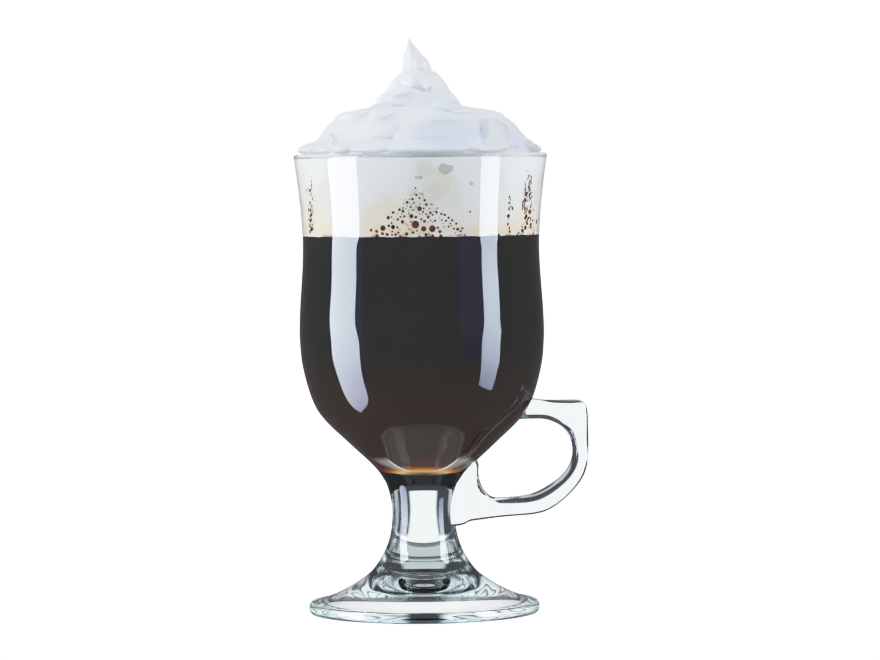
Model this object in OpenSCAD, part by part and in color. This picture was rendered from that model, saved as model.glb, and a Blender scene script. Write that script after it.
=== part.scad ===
// Footed glass mug for Irish coffee, filled and topped with whipped cream.
// The origin is on the mug's axis, on the surface that the foot stands on.
// +Z is up and +X points to the handle.

/* [Heights] */
// Height of the plane where the foot meets the stem
foot_h = 15.6; // [13:0.1:18]
// Height of the narrowest part of the stem
stem_waist_z = 31; // [27:0.5:34]
// Height of the plane where the stem meets the bowl
bowl_base_z = 39.6; // [36.6:0.2:42]
// Height of the lowest point inside the bowl
bowl_floor_z = 45.5; // [43:0.1:47]
// Height where the bowl is widest
belly_z = 85; // [76:1:90]
// Height of the slight waist above the belly
waist_z = 113; // [100:1:120]
// Height of the rim
rim_z = 140; // [130:1:150]

/* [Radii of the glass] */
// Outer radius of the foot
foot_r = 35.2; // [32:0.1:38]
// Radius where the foot meets the stem
stem_base_r = 13.8; // [12:0.1:15]
// Radius of the stem at its narrowest
stem_waist_r = 9.55; // [8.5:0.05:11]
// Radius where the stem meets the bowl
stem_top_r = 11.3; // [11:0.1:13]
// Outer radius of the bowl at its widest
belly_r = 37.3; // [35:0.1:40]
// Outer radius of the bowl at its waist
waist_r = 36; // [34:0.1:38]
// Outer radius of the flared rim
rim_r = 38.7; // [36:0.1:42]

/* [Glass thickness] */
// Wall of the bowl just under the rim
rim_wall = 2; // [1.5:0.1:3]
// Wall of the bowl at the waist
waist_wall = 2.6; // [2:0.1:3.5]
// Wall of the bowl at the belly
belly_wall = 4.1; // [3:0.1:5]
// Height of the foot's rounded outer edge
foot_edge_h = 3.6; // [3:0.1:4.5]
// Width of the flat ring that the foot stands on
foot_ring_w = 3.4; // [2:0.1:5]
// Radius of the round top of the hollow under the foot
foot_hollow_r = 9.2; // [7:0.1:10]
// Height of the top of the hollow under the foot
foot_hollow_h = 11.3; // [9:0.1:12.5]

/* [Handle] */
// Distance from the mug's axis to the outside of the handle
handle_reach = 50.4; // [46:0.1:54]
// Height of the top edge of the handle
handle_top_z = 64.5; // [62:0.1:68]
// Height of the lowest point of the handle, at the stem
handle_foot_z = 26.2; // [24:0.1:28]
// Depth of the handle from front to back
handle_depth = 9; // [7:0.1:12]
// Radius of the handle's rounded edges
handle_edge_r = 1.7; // [1:0.1:2.2]

/* [Drink] */
// Height of the coffee's surface
coffee_z = 115.4; // [100:0.1:120]
// Height of the top of the cream layer, just under the rim
cream_layer_z = 138.5; // [130:0.1:138.8]
// Height of the tip of the whipped cream
cream_tip_z = 175; // [160:0.1:185]
// Gap between the whipped cream and the inside of the rim
cream_rim_gap = 0.6; // [0.5:0.1:2]
// How far the tip leans to the side away from the handle
cream_lean = 3.1; // [0:0.1:5]

/* [Hidden] */
$fn = 96;

glass_colour = [0.84, 0.9, 0.93, 0.5];
coffee_colour = [0.16, 0.09, 0.06];
cream_layer_colour = [0.93, 0.89, 0.8];
whipped_cream_colour = [0.98, 0.98, 0.99];

// Steps along each stretch of an outline
curve_steps = 12;

// How the radius grows over the flare, from the waist to the rim
flare_power = 1.55;
// How the radius grows from the stem's narrowest part up to the bowl and down to the foot
stem_up_power = 1.75;
stem_down_power = 2.35;
// Shape of the inside of the bowl below the belly, near an ellipse
well_depth_power = 2;
well_round_power = 0.6;

// Outside of the bowl from the belly down to the stem: share of the drop, share of the radius lost
bowl_under_shares = [
    [0, 1], [0.17, 0.978], [0.335, 0.914], [0.46, 0.838], [0.54, 0.755], [0.62, 0.63],
    [0.7, 0.48], [0.78, 0.332], [0.85, 0.2], [0.92, 0.088], [1, 0]
];

// Top of the foot from the stem out to its edge: share of the way out, share of the height left
foot_top_shares = [
    [0, 1], [0.035, 0.92], [0.11, 0.765], [0.21, 0.617], [0.34, 0.47], [0.5, 0.31], [0.69, 0.158], [0.86, 0.05], [1, 0]
];

// Where the foot's edge turns in to the ring it stands on, as a share of the edge's half height
foot_edge_turn_share = 0.6;
// Hollow under the foot from its mouth in to its round top: share of the way in, share of its height
foot_hollow_shares = [[0, 0], [0.05, 0.1], [0.34, 0.36], [0.7, 0.62], [0.94, 0.84], [1, 0.97], [1.07, 1]];

// Outline of the handle from the bowl round to the stem, in pairs that face each other.
// Each row has the outer point and then the inner one, as shares of the reach and of the height.
handle_outline_shares = [
    [0.55, 1.004, 0.51, 0.845],
    [0.66, 1.012, 0.6, 0.853],
    [0.72, 1.003, 0.67, 0.855],
    [0.8, 1, 0.735, 0.852],
    [0.88, 1, 0.79, 0.83],
    [0.945, 0.997, 0.835, 0.795],
    [0.985, 0.965, 0.872, 0.745],
    [0.998, 0.89, 0.895, 0.68],
    [1, 0.76, 0.904, 0.61],
    [1, 0.6, 0.9, 0.545],
    [0.992, 0.49, 0.878, 0.47],
    [0.965, 0.39, 0.835, 0.395],
    [0.91, 0.292, 0.785, 0.345],
    [0.83, 0.193, 0.72, 0.292],
    [0.75, 0.127, 0.66, 0.258],
    [0.68, 0.1, 0.595, 0.239],
    [0.61, 0.09, 0.53, 0.231],
    [0.53, 0.083, 0.47, 0.228],
    [0.46, 0.075, 0.422, 0.231],
    [0.4, 0.066, 0.385, 0.262],
    [0.34, 0.056, 0.352, 0.325],
    [0.28, 0.044, 0.334, 0.42],
    [0.225, 0.014, 0.326, 0.53],
    [0.1, 0, 0.2, 0.64]
];
// Depth of the handle at its two roots against its depth at the grip
handle_root_depth_share = 1.12;
// Points on each rounded edge of the handle's section, and stations between two outline points
handle_edge_steps = 3;
handle_steps = 2;

// Body of the whipped cream by rings from its base to its tip, under the lobes that fold over it.
// Each row has a share of the height, of the base radius and of the lean.
cream_ring_shares = [
    [0, 0.985, 0], [0.03, 1, 0], [0.068, 0.98, 0], [0.104, 0.93, 0], [0.137, 0.865, 0], [0.17, 0.8, 0],
    [0.22, 0.738, 0], [0.27, 0.7, 0], [0.315, 0.66, 0], [0.353, 0.615, 0.05], [0.381, 0.555, 0.1],
    [0.397, 0.49, 0.14], [0.412, 0.43, 0.18], [0.438, 0.365, 0.22], [0.48, 0.305, 0.26], [0.525, 0.262, 0.28],
    [0.57, 0.222, 0.28], [0.615, 0.183, 0.26], [0.66, 0.153, 0.26], [0.72, 0.122, 0.27], [0.77, 0.102, 0.32],
    [0.822, 0.084, 0.42], [0.87, 0.066, 0.58], [0.918, 0.045, 0.75], [0.956, 0.026, 0.88], [0.986, 0.012, 0.96],
    [1, 0.004, 1],
];
// Lobes of the whipped cream, which leave creases where they meet. Each row has the lobe's angle and its
// share of the height, its half width as an angle, its half height as a share of the height, and its
// depth as a share of the base radius.
cream_lobe_shares = [
    // Low ones that rest on the rim
    [-177, 0.107, 18, 0.06, 0.086], [-152, 0.118, 16, 0.08, 0.07], [-131, 0.112, 9, 0.068, 0.06],
    [-113, 0.11, 13, 0.06, 0.055], [-84, 0.123, 24, 0.082, 0.075], [-54, 0.112, 14, 0.071, 0.06],
    [-14, 0.112, 12, 0.071, 0.07], [7, 0.106, 14, 0.068, 0.07], [40, 0.108, 14, 0.07, 0.06],
    [70, 0.12, 18, 0.08, 0.065], [105, 0.11, 16, 0.068, 0.06], [135, 0.123, 14, 0.082, 0.065],
    [160, 0.112, 13, 0.072, 0.06],
    // The large ones of the first tier
    [-80, 0.25, 34, 0.15, 0.105], [-126, 0.255, 27, 0.148, 0.115], [-166, 0.222, 19, 0.13, 0.1],
    [168, 0.25, 22, 0.13, 0.095], [-37, 0.205, 14, 0.14, 0.105], [-8, 0.235, 24, 0.148, 0.112],
    [28, 0.262, 20, 0.135, 0.1], [62, 0.23, 22, 0.148, 0.11], [100, 0.266, 26, 0.137, 0.105],
    [138, 0.235, 20, 0.148, 0.11],
    // Edges of the second tier, which lap over the first
    [-133, 0.386, 28, 0.06, 0.095], [-176, 0.372, 28, 0.06, 0.105], [-52, 0.43, 34, 0.055, 0.09],
    [0, 0.38, 30, 0.062, 0.115], [60, 0.4, 34, 0.055, 0.09], [128, 0.424, 28, 0.055, 0.085],
    // The second tier
    [-125, 0.512, 36, 0.088, 0.068], [-28, 0.523, 40, 0.093, 0.062], [-80, 0.49, 26, 0.071, 0.058],
    [70, 0.507, 42, 0.088, 0.068], [152, 0.523, 38, 0.088, 0.062],
    // Folds that climb into the peak
    [-92, 0.66, 50, 0.072, 0.055], [-12, 0.63, 52, 0.105, 0.07], [108, 0.655, 60, 0.077, 0.05],
    [-168, 0.627, 42, 0.077, 0.045], [-40, 0.792, 60, 0.071, 0.03], [140, 0.822, 60, 0.082, 0.022],
];
// How full the lobes are: 0.5 makes half ellipsoids, and more than that softer ones
cream_lobe_power = 0.62;
cream_sectors = 64;
cream_ring_steps = 2;

// Point on a smooth curve through p1 and p2, at the share s between them
function curve_point(p0, p1, p2, p3, s) =
    (2 * p1 + (p2 - p0) * s + (2 * p0 - 5 * p1 + 4 * p2 - p3) * s * s
        + (3 * p1 - p0 - 3 * p2 + p3) * s * s * s) / 2;

// Smooth open curve through all the points, with a number of steps between each two
function smooth_curve(points, steps) =
    let (last = len(points) - 1)
    [for (i = [0 : last - 1]) for (k = [0 : steps - 1])
        curve_point(points[max(i - 1, 0)], points[i], points[i + 1], points[min(i + 2, last)], k / steps),
     points[last]];

function ease(s) = (1 - cos(180 * s)) / 2;
function between(a, b, s) = a + (b - a) * s;
function share_of(value, low, high) = (value - low) / (high - low);

// Radius of the glass above the belly, outside or inside, from its radii at belly, waist and rim
function upper_r(z, at_belly, at_waist, at_rim) = z > waist_z
    ? between(at_waist, at_rim, pow(share_of(z, waist_z, rim_z), flare_power))
    : between(at_belly, at_waist, ease(share_of(z, belly_z, waist_z)));

rim_inner_r = rim_r - rim_wall;
waist_inner_r = waist_r - waist_wall;
belly_inner_r = belly_r - belly_wall;
lip_r = rim_wall / 2;
lip_z = rim_z - lip_r;

// Radius of the inside of the bowl at a height
function inner_r(z) = z >= belly_z
    ? upper_r(z, belly_inner_r, waist_inner_r, rim_inner_r)
    : belly_inner_r * pow(1 - pow(share_of(z, belly_z, bowl_floor_z), well_depth_power), well_round_power);

function inner_wall(low, high, steps) = [for (k = [0 : steps])
    let (z = between(low, high, k / steps)) [inner_r(z), z]];

// The well's rows are closer together near its floor, where it is nearly flat
function well_wall(steps) = [for (k = [0 : steps])
    let (z = between(belly_z, bowl_floor_z, sin(90 * (1 - k / steps)))) [inner_r(z), z]];

coffee_wall = concat(well_wall(2 * curve_steps), inner_wall(belly_z, coffee_z, curve_steps));
cream_layer_wall = inner_wall(coffee_z, cream_layer_z, curve_steps);
lip_wall = inner_wall(cream_layer_z, lip_z, 2);

bowl_under = smooth_curve([for (s = bowl_under_shares)
    [between(stem_top_r, belly_r, s[1]), between(belly_z, bowl_base_z, s[0])]], 4);
bowl_side = [for (k = [0 : 2 * curve_steps])
    let (z = between(belly_z, lip_z, k / (2 * curve_steps))) [upper_r(z, belly_r, waist_r, rim_r), z]];
bowl_lip = [for (a = [15 : 15 : 165]) [rim_r - lip_r + lip_r * cos(a), lip_z + lip_r * sin(a)]];

function reversed(points) = [for (k = [len(points) - 1 : -1 : 0]) points[k]];

stem_side = concat(
    [for (k = [0 : curve_steps]) let (s = 1 - k / curve_steps)
        [between(stem_waist_r, stem_base_r, pow(s, stem_down_power)), between(stem_waist_z, foot_h, s)]],
    [for (k = [1 : curve_steps]) let (s = k / curve_steps)
        [between(stem_waist_r, stem_top_r, pow(s, stem_up_power)), between(stem_waist_z, bowl_base_z, s)]]);

// The foot's edge is half an ellipse that leans on the flat ring it stands on
foot_edge_r = foot_edge_h / 2;
foot_ring_outer_r = foot_r - foot_edge_r * foot_edge_turn_share;
foot_ring_inner_r = foot_ring_outer_r - foot_ring_w;
foot_top = smooth_curve([for (s = foot_top_shares)
    [between(stem_base_r, foot_ring_outer_r, s[0]), between(foot_edge_h, foot_h, s[1])]], 3);
foot_edge = [for (a = [75 : -15 : -75])
    [foot_ring_outer_r + (foot_r - foot_ring_outer_r) * cos(a), foot_edge_r + foot_edge_r * sin(a)]];
foot_hollow = smooth_curve([for (s = foot_hollow_shares)
    [between(foot_ring_inner_r, foot_hollow_r, s[0]), foot_hollow_h * s[1]]], 3);

module revolved(outline) rotate_extrude() polygon(outline);

// Outside of the bowl as one solid, which the handle is cut to
module bowl_envelope() revolved(concat([[0, bowl_base_z]], reversed(bowl_under), bowl_side, [[0, lip_z]]));

module stem_envelope() revolved(concat([[0, foot_h]], stem_side, [[0, bowl_base_z]]));

module bowl() color(glass_colour) revolved(concat([[0, bowl_base_z]], reversed(bowl_under), bowl_side,
    bowl_lip, reversed(lip_wall), reversed(cream_layer_wall), reversed(coffee_wall)));

module stem() color(glass_colour) stem_envelope();

module foot() color(glass_colour) revolved(concat([[0, foot_h]], foot_top, foot_edge,
    [[foot_ring_outer_r, 0]], foot_hollow, [[0, foot_hollow_h]]));

// Skin of a solid that passes through a row of rings with equally many points, closed at both ends
function loft_faces(rings, sides) = concat(
    [[for (k = [0 : sides - 1]) k]],
    [for (i = [0 : rings - 2]) for (k = [0 : sides - 1])
        [i * sides + k, (i + 1) * sides + k, (i + 1) * sides + (k + 1) % sides]],
    [for (i = [0 : rings - 2]) for (k = [0 : sides - 1])
        [i * sides + k, (i + 1) * sides + (k + 1) % sides, i * sides + (k + 1) % sides]],
    [[for (k = [sides - 1 : -1 : 0]) (rings - 1) * sides + k]]);

module loft(rings) polyhedron([for (ring = rings) for (p = ring) p], loft_faces(len(rings), len(rings[0])), 4);

// The handle's section between an outer and an inner point: a rectangle with rounded edges
function handle_ring(row, depth) =
    let (outer = [row[0], row[1]], inner = [row[2], row[3]], width = norm(outer - inner),
        out = (outer - inner) / width, middle = (outer + inner) / 2)
    [for (corner = [[1, 1], [-1, 1], [-1, -1], [1, -1]]) for (k = [0 : handle_edge_steps])
        let (turn = (corner[0] * corner[1] > 0 ? k : handle_edge_steps - k) * 90 / handle_edge_steps,
            u = corner[0] * (width / 2 - handle_edge_r + handle_edge_r * cos(turn)),
            v = corner[1] * (depth / 2 - handle_edge_r + handle_edge_r * sin(turn)))
        [middle[0] + out[0] * u, v, middle[1] + out[1] * u]];

handle_rows = smooth_curve([for (s = handle_outline_shares)
    [s[0] * handle_reach, between(handle_foot_z, handle_top_z, s[1]),
     s[2] * handle_reach, between(handle_foot_z, handle_top_z, s[3])]], handle_steps);
handle_last = len(handle_rows) - 1;

function handle_depth_at(k) = handle_depth
    * between(1, handle_root_depth_share, pow(abs(2 * k / handle_last - 1), 4));

module handle() color(glass_colour) difference() {
    loft([for (k = [0 : handle_last]) handle_ring(handle_rows[k], handle_depth_at(k))]);
    bowl_envelope();
    stem_envelope();
}

module coffee() color(coffee_colour) revolved(concat(coffee_wall, [[0, coffee_z]]));

module cream_layer() color(cream_layer_colour) revolved(concat([[0, coffee_z]], cream_layer_wall,
    [[0, cream_layer_z]]));

cream_base_r = inner_r(cream_layer_z) - cream_rim_gap;
cream_rows = smooth_curve(cream_ring_shares, cream_ring_steps);

// Angle between two directions, and how far a lobe stands out in one of them
function turn_between(a, b) = abs((a - b + 540) % 360 - 180);
function lobe_share(angle, height_share, lobe) =
    let (u = turn_between(angle, lobe[0]) / lobe[2], v = (height_share - lobe[1]) / lobe[3])
    lobe[4] * pow(max(0, 1 - u * u - v * v), cream_lobe_power);

function cream_r(angle, row) =
    cream_base_r * (row[1] + max([for (lobe = cream_lobe_shares) lobe_share(angle, row[0], lobe)]));

function cream_ring(row) = [for (k = [0 : cream_sectors - 1])
    let (angle = 360 * k / cream_sectors, r = cream_r(angle, row))
    [r * cos(angle) - cream_lean * row[2], r * sin(angle), between(cream_layer_z, cream_tip_z, row[0])]];

module whipped_cream() color(whipped_cream_colour) loft(reversed([for (row = cream_rows) cream_ring(row)]));

bowl();
stem();
foot();
handle();
coffee();
cream_layer();
whipped_cream();
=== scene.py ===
import math
import random

import bmesh
import bpy
from mathutils import Matrix, Vector, noise


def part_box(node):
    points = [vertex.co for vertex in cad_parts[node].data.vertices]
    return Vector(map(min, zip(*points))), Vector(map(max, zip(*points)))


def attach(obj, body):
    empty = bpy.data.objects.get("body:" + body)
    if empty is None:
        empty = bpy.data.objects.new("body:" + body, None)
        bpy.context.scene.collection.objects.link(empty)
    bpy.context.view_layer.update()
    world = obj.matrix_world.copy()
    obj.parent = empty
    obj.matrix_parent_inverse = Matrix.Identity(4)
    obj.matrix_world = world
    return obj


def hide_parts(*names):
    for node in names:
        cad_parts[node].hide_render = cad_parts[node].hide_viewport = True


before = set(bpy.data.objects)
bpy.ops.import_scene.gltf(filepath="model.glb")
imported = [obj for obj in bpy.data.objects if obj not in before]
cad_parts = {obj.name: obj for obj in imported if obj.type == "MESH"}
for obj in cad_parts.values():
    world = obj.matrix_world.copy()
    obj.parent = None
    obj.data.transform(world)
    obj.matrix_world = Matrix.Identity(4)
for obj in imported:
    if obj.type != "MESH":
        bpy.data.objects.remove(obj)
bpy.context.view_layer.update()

MM = 0.001
FULL_TURN = 2 * math.pi


def frame_mm(node):
    """The lowest and highest corners of a CAD node, in millimetres."""
    low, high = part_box(node)
    return Vector(low) / MM, Vector(high) / MM


# Sizes that the frame gives
bowl_low, bowl_high = frame_mm("bowl")
foot_high = frame_mm("foot")[1]
coffee_low, coffee_high = frame_mm("coffee")
rim_z = bowl_high.z
bowl_base_z = bowl_low.z
bowl_floor_z = coffee_low.z
coffee_z = coffee_high.z
cream_layer_z = frame_mm("cream_layer")[1].z
cream_tip_z = frame_mm("whipped_cream")[1].z
foot_h = foot_high.z
foot_r = foot_high.x
handle_reach = frame_mm("handle")[1].x

# Sizes of the glass that lie inside those boxes
rim_r = 38.7
belly_z = 85
waist_z = 113
belly_r = 37.3
waist_r = 36
stem_waist_z = 31
stem_base_r = 13.8
stem_waist_r = 9.55
stem_top_r = 11.3
rim_wall = 2
waist_wall = 2.6
belly_wall = 4.1
foot_edge_h = 3.6
foot_ring_w = 3.4
foot_hollow_r = 9.2
foot_hollow_h = 11.3
handle_top_z = 64.5
handle_foot_z = 26.2
handle_depth = 9
handle_edge_r = 1.7
handle_inner_edge_r = 3.2

# Shapes of the outlines
flare_power = 1.55
stem_up_power = 1.75
stem_down_power = 2.35
well_depth_power = 2
well_round_power = 0.6
foot_edge_turn_share = 0.6
handle_root_depth_share = 1.12
handle_root_power = 4
bowl_under_shares = [
    (0, 1), (0.17, 0.978), (0.335, 0.914), (0.46, 0.838), (0.54, 0.755), (0.62, 0.63),
    (0.7, 0.48), (0.78, 0.332), (0.85, 0.2), (0.92, 0.088), (1, 0),
]
foot_top_shares = [
    (0, 1), (0.035, 0.92), (0.11, 0.765), (0.21, 0.617), (0.34, 0.47), (0.5, 0.31), (0.69, 0.158),
    (0.86, 0.05), (1, 0),
]
foot_hollow_shares = [(0, 0), (0.05, 0.1), (0.34, 0.36), (0.7, 0.62), (0.94, 0.84), (1, 0.97), (1.07, 1)]
handle_outline_shares = [
    (0.55, 1.004, 0.51, 0.845),
    (0.66, 1.012, 0.6, 0.853),
    (0.72, 1.003, 0.67, 0.855),
    (0.8, 1, 0.735, 0.852),
    (0.88, 1, 0.79, 0.83),
    (0.945, 0.997, 0.835, 0.795),
    (0.985, 0.965, 0.872, 0.745),
    (0.998, 0.89, 0.895, 0.68),
    (1, 0.76, 0.904, 0.61),
    (1, 0.6, 0.9, 0.545),
    (0.992, 0.49, 0.878, 0.47),
    (0.965, 0.39, 0.835, 0.395),
    (0.91, 0.292, 0.785, 0.345),
    (0.83, 0.193, 0.72, 0.292),
    (0.75, 0.127, 0.66, 0.258),
    (0.68, 0.1, 0.595, 0.239),
    (0.61, 0.09, 0.53, 0.231),
    (0.53, 0.083, 0.47, 0.228),
    (0.46, 0.075, 0.422, 0.231),
    (0.4, 0.066, 0.385, 0.262),
    (0.34, 0.056, 0.352, 0.325),
    (0.28, 0.044, 0.334, 0.42),
    (0.225, 0.014, 0.326, 0.53),
    (0.1, 0, 0.2, 0.64),
]

# Steps of the meshes: between two points of a curve, along the straighter stretches and round a full turn
curve_steps = 6
hollow_steps = 5
handle_steps = 5
handle_corner_steps = 7
neck_steps = 16
stem_steps = 12
wall_steps = 40
coffee_wall_steps = 30
layer_steps = 24
glass_turn_steps = 160
coffee_turn_steps = 128
layer_turn_steps = 256
# Degrees between two points of a round edge, and the bend over which two faces meet at a sharp edge
arc_step = 15
sharp_bend = 38


# Curves and outlines


def between(a, b, share):
    return a + (b - a) * share


def share_of(value, low, high):
    return (value - low) / (high - low)


def smooth_curve(points, steps):
    """A smooth open curve through all the points, with a number of steps between each two."""
    curve = []
    last = len(points) - 1
    for i in range(last):
        near = points[max(i - 1, 0)], points[i], points[i + 1], points[min(i + 2, last)]
        for k in range(steps):
            s = k / steps
            curve.append(tuple(
                (2 * b + (c - a) * s + (2 * a - 5 * b + 4 * c - d) * s**2
                 + (3 * b - a - 3 * c + d) * s**3) / 2
                for a, b, c, d in zip(*near)
            ))
    return curve + [tuple(points[last])]


def upper_r(z, at_belly, at_waist, at_rim):
    """Radius of the bowl above its belly, outside or inside."""
    if z > waist_z:
        return between(at_waist, at_rim, share_of(z, waist_z, rim_z) ** flare_power)
    ease = (1 - math.cos(math.pi * share_of(z, belly_z, waist_z))) / 2
    return between(at_belly, at_waist, ease)


def inner_r(z):
    if z >= belly_z:
        return upper_r(z, belly_r - belly_wall, waist_r - waist_wall, rim_r - rim_wall)
    depth = min(share_of(z, belly_z, bowl_floor_z), 1)
    return (belly_r - belly_wall) * (1 - depth**well_depth_power) ** well_round_power


def well_heights(top, steps):
    """Heights down the inside of the bowl, closer together towards its flat floor."""
    return [between(bowl_floor_z, top, 1 - math.sin(math.pi / 2 * k / steps)) for k in range(steps + 1)]


def inside_wall(top, steps):
    """The inside of the bowl from a height down to the middle of its floor."""
    upper = [between(top, belly_z, k / steps) for k in range(steps)]
    return [(inner_r(z), z) for z in upper + well_heights(belly_z, steps)]


def arc(middle_r, middle_z, r, h, start, end):
    """Points of a round edge between two angles, without its ends."""
    turns = [math.radians(a) for a in range(start + arc_step, end, arc_step)]
    return [(middle_r + r * math.cos(a), middle_z + h * math.sin(a)) for a in turns]


def glass_outline():
    """Half section of the glass, from the top of the hollow under the foot round to the bowl's floor."""
    edge_r = foot_edge_h / 2
    ring_r = foot_r - edge_r * foot_edge_turn_share
    lip_r = rim_wall / 2
    hollow = smooth_curve([
        (between(ring_r - foot_ring_w, foot_hollow_r, a), foot_hollow_h * b) for a, b in foot_hollow_shares
    ], hollow_steps)
    edge = arc(ring_r, edge_r, foot_r - ring_r, edge_r, -90, 90)
    top = smooth_curve([
        (between(stem_base_r, ring_r, a), between(foot_edge_h, foot_h, b)) for a, b in foot_top_shares
    ], curve_steps)
    below = [(between(stem_waist_r, stem_base_r, (1 - k / neck_steps) ** stem_down_power),
              between(foot_h, stem_waist_z, k / neck_steps)) for k in range(1, neck_steps + 1)]
    above = [(between(stem_waist_r, stem_top_r, (k / stem_steps) ** stem_up_power),
              between(stem_waist_z, bowl_base_z, k / stem_steps)) for k in range(1, stem_steps)]
    under = smooth_curve([
        (between(stem_top_r, belly_r, b), between(belly_z, bowl_base_z, a)) for a, b in bowl_under_shares
    ], curve_steps)
    side = [between(belly_z, rim_z - lip_r, k / wall_steps) for k in range(1, wall_steps + 1)]
    lip = arc(rim_r - lip_r, rim_z - lip_r, lip_r, lip_r, 0, 180)
    return (
        [(0, foot_hollow_h)] + hollow[::-1] + [(ring_r, 0)] + edge + top[::-1] + below + above + under[::-1]
        + [(upper_r(z, belly_r, waist_r, rim_r), z) for z in side] + lip
        + inside_wall(rim_z - lip_r, wall_steps)
    )


# Making meshes


def piece_from(name, bm, smooth=True):
    """Writes a bmesh that is in millimetres to a new object at the origin, in metres."""
    bmesh.ops.scale(bm, vec=(MM, MM, MM), verts=bm.verts)
    mesh = bpy.data.meshes.new(name)
    bm.to_mesh(mesh)
    bm.free()
    if smooth:
        mesh.shade_smooth()
    piece = bpy.data.objects.new(name, mesh)
    bpy.context.collection.objects.link(piece)
    return piece


def revolved(outline, steps):
    """A closed bmesh turned from a half section that starts and ends on the axis."""
    bm = bmesh.new()
    verts = [bm.verts.new((r, 0, z)) for r, z in outline]
    edges = [bm.edges.new(pair) for pair in zip(verts, verts[1:])]
    bmesh.ops.spin(bm, geom=verts + edges, cent=(0, 0, 0), axis=(0, 0, 1), angle=FULL_TURN,
                   steps=steps, use_merge=True)
    bmesh.ops.remove_doubles(bm, verts=bm.verts, dist=1e-4)
    bmesh.ops.recalc_face_normals(bm, faces=bm.faces)
    return bm


def unit_ball(segments, rings):
    """A ball of radius 1 in one, as a mesh that add_copy repeats."""
    bm = bmesh.new()
    bmesh.ops.create_uvsphere(bm, u_segments=segments, v_segments=rings, radius=1)
    mesh = bpy.data.meshes.new("unit ball")
    bm.to_mesh(mesh)
    bm.free()
    return mesh


def add_copy(bm, pattern, place):
    """Adds a copy of a small mesh to a bmesh, moved and scaled by a matrix."""
    copy = pattern.copy()
    copy.transform(place)
    bm.from_mesh(copy)
    bpy.data.meshes.remove(copy)


def loft(bm, loops):
    """Joins rings of edges into one closed skin."""
    for first, second in zip(loops, loops[1:]):
        bmesh.ops.bridge_loops(bm, edges=first + second)
    bmesh.ops.holes_fill(bm, edges=loops[0] + loops[-1])
    bmesh.ops.recalc_face_normals(bm, faces=bm.faces)


def applied(piece):
    """Turns a piece's live modifiers into its mesh."""
    shown = piece.evaluated_get(bpy.context.evaluated_depsgraph_get())
    mesh = bpy.data.meshes.new_from_object(shown)
    piece.modifiers.clear()
    piece.data = mesh
    return piece


def handle_ring(bm, row, depth):
    """The handle's section between an outer and an inner point: a rectangle with rounded edges."""
    outer, inner = Vector((row[0], 0, row[1])), Vector((row[2], 0, row[3]))
    outward = (outer - inner).normalized()
    half, middle = (outer - inner).length / 2, (outer + inner) / 2
    ring = []
    for side, face in ((1, 1), (-1, 1), (-1, -1), (1, -1)):
        edge = handle_edge_r if side > 0 else handle_inner_edge_r
        turns = range(handle_corner_steps + 1)
        for k in turns if side * face > 0 else reversed(turns):
            a = math.pi / 2 * k / handle_corner_steps
            u = side * (half - edge + edge * math.cos(a))
            v = face * (depth / 2 - edge + edge * math.sin(a))
            ring.append(bm.verts.new(middle + outward * u + Vector((0, v, 0))))
    return [bm.edges.new(pair) for pair in zip(ring, ring[1:] + ring[:1])]


def make_handle():
    """The handle's loop, deeper at its two roots, whose ends lie inside the bowl and the stem."""
    rows = smooth_curve([
        (a * handle_reach, between(handle_foot_z, handle_top_z, b),
         c * handle_reach, between(handle_foot_z, handle_top_z, d)) for a, b, c, d in handle_outline_shares
    ], handle_steps)
    bm = bmesh.new()
    loops = []
    for k, row in enumerate(rows):
        spread = abs(2 * k / (len(rows) - 1) - 1) ** handle_root_power
        loops.append(handle_ring(bm, row, handle_depth * between(1, handle_root_depth_share, spread)))
    loft(bm, loops)
    return piece_from("handle_blank", bm)


def make_glass():
    """One closed piece of glass: the foot, stem and bowl turned in one, with the handle fused on."""
    glass = piece_from("glass", revolved(glass_outline(), glass_turn_steps))
    handle = make_handle()
    fuse = glass.modifiers.new("fused handle", "BOOLEAN")
    fuse.operation = "UNION"
    fuse.solver = "MANIFOLD"
    fuse.object = handle
    applied(glass)
    bpy.data.objects.remove(handle)
    glass.data.shade_smooth()
    glass.data.set_sharp_from_angle(angle=math.radians(sharp_bend))
    return glass


# How far the drink reaches into the glass wall, so that no film of air shows between them
wetting = 0.12
layer_wetting = 0.2
# The foam climbs the glass to just under the lip
foam_top_z = 139
# Its lower edge at the glass: how far it hangs down, how much of that is drawn up again, and the waves in it
foam_skirt = 0.5
foam_skirt_lift_share = 0.9
foam_skirt_wave_shares = ((9, 0.5), (40, 0.35))


def make_coffee():
    """The coffee, up to the foam, with its skin just inside the glass wall."""
    wall = [(r + wetting, z) for r, z in inside_wall(coffee_z, coffee_wall_steps)[:-1]]
    bm = revolved([(0, coffee_z)] + wall + [(0, bowl_floor_z - wetting)], coffee_turn_steps)
    return piece_from("coffee_drink", bm)


def make_cream_layer():
    """The cream that floats on the coffee, with a ragged lower edge where it clings to the glass."""
    heights = [between(foam_top_z, coffee_z, k / layer_steps) for k in range(layer_steps + 1)]
    bottom_r, bottom_z = inner_r(coffee_z), coffee_z - foam_skirt
    outline = [(0, foam_top_z)] + [(inner_r(z) + layer_wetting, z) for z in heights]
    outline += [(bottom_r + layer_wetting, bottom_z), (bottom_r - foam_skirt, bottom_z), (0, bottom_z)]
    bm = revolved(outline, layer_turn_steps)
    for v in bm.verts:
        if v.co.z < coffee_z - foam_skirt / 2 and v.co.xy.length > bottom_r:
            turn = math.atan2(v.co.y, v.co.x)
            spot = Vector((math.cos(turn), math.sin(turn), 0))
            waves = sum(share * noise.noise(spot * scale) for scale, share in foam_skirt_wave_shares)
            v.co.z += foam_skirt * (foam_skirt_lift_share + waves)
    return piece_from("cream_foam_layer", bm)


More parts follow.
